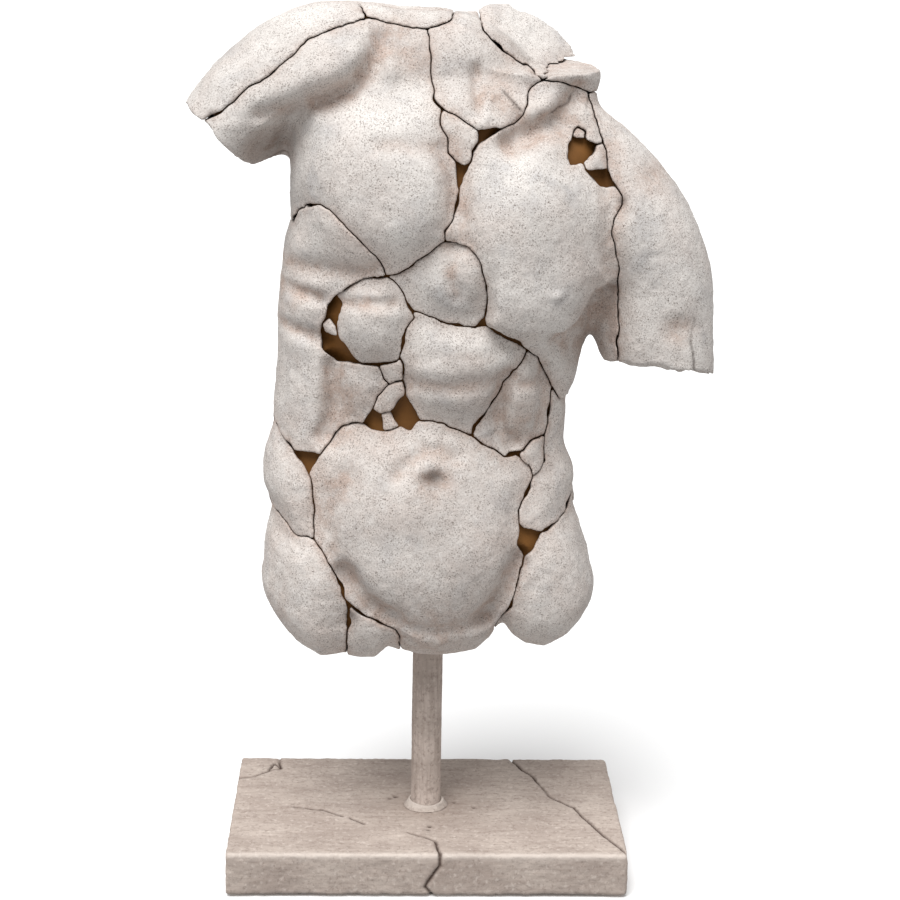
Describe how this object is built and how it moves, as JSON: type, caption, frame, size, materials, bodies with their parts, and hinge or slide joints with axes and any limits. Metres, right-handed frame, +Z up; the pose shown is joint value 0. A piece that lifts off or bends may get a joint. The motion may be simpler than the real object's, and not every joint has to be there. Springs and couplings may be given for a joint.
{
  "type": "cracked torso sculpture on stand",
  "caption": "Free-standing torso sculpture made of bonded stone-look shards over a hollow liner, clamped by a rod through a post to a rectangular slab.",
  "frame": {"origin": "on the floor under the middle of the base slab, which is the post's axis", "axes": "+Z up along the post, the chest faces -Y, +X is the sculpture's left side"},
  "size_m": [0.3327, 0.153, 0.5553],
  "materials": {
    "shard_stone": "matte, fine pores, pink-tan wash in the hollows",
    "liner_shell": "flat golden brown",
    "base_stone": "matte, granular",
    "foam": "matte",
    "steel": "satin"
  },
  "bodies": {
    "root": {"shoulder_cap_right": "shard_stone", "trapezius_right": "shard_stone", "chest_right": "shard_stone", "sternum_chip": "shard_stone", "chest_left": "shard_stone", "shoulder_chip_left": "shard_stone", "shoulder_crumb_left": "shard_stone", "arm_left": "shard_stone", "sternum_low": "shard_stone", "rib_lobe_right": "shard_stone", "rib_chip_right": "shard_stone", "flank_right": "shard_stone", "flank_chip_upper": "shard_stone", "flank_chip_middle": "shard_stone", "flank_chip_lower": "shard_stone", "abdomen_upper": "shard_stone", "abdomen_left": "shard_stone", "side_chip_left": "shard_stone", "hip_side_left": "shard_stone", "hip_left": "shard_stone", "belly": "shard_stone", "groin_chip": "shard_stone", "hip_side_right": "shard_stone", "hip_right": "shard_stone", "throat": "shard_stone", "neck_back": "shard_stone", "neck_chip_left": "shard_stone", "back_shoulder_right": "shard_stone", "back_arm_right": "shard_stone", "back_blade_right": "shard_stone", "back_blade_left": "shard_stone", "back_arm_left": "shard_stone", "back_rib_right": "shard_stone", "back_rib_left": "shard_stone", "back_lumbar": "shard_stone", "back_hip_right": "shard_stone", "back_hip_left": "shard_stone", "back_buttock_right": "shard_stone", "back_buttock_left": "shard_stone", "liner_front": "liner_shell", "liner_back": "liner_shell", "base_slab": "base_stone", "base_pad": "foam", "post": "base_stone", "post_bead": "base_stone", "threaded_rod": "steel", "lower_washer": "steel", "lower_nut": "steel", "clamp_plate": "steel", "upper_washer": "steel", "upper_nut": "steel"}
  },
  "joints": []
}
